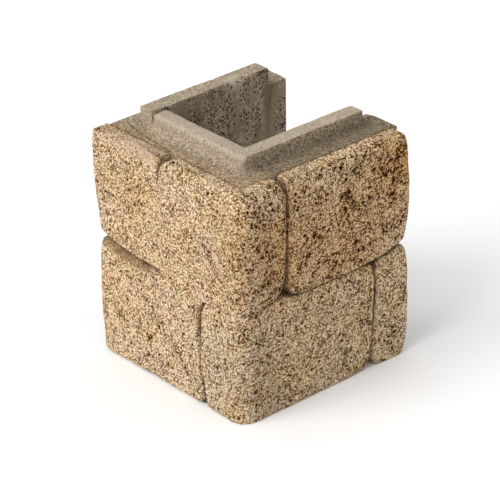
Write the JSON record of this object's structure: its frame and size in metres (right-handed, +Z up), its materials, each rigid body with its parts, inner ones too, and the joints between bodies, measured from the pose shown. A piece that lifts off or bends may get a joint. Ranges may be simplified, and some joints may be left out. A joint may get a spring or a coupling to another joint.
{
  "type": "concrete corner block",
  "caption": "Hollow concrete corner block, U-shaped in plan, with a raised tongue round its top and a bush-hammered stone-look facing on its two outer sides.",
  "frame": {"origin": "centre of the whole block's bounding box in plan, at the underside", "axes": "+X along the front leaf, towards the open ends of the U; +Y from the faced front leaf to the plain back leaf; +Z up"},
  "size_m": [0.1826, 0.179, 0.2155],
  "materials": {
    "grey_concrete": "matte",
    "facing_concrete": "matte"
  },
  "bodies": {
    "root": {"concrete_shell": "grey_concrete", "stone_facing": "facing_concrete"}
  },
  "joints": []
}
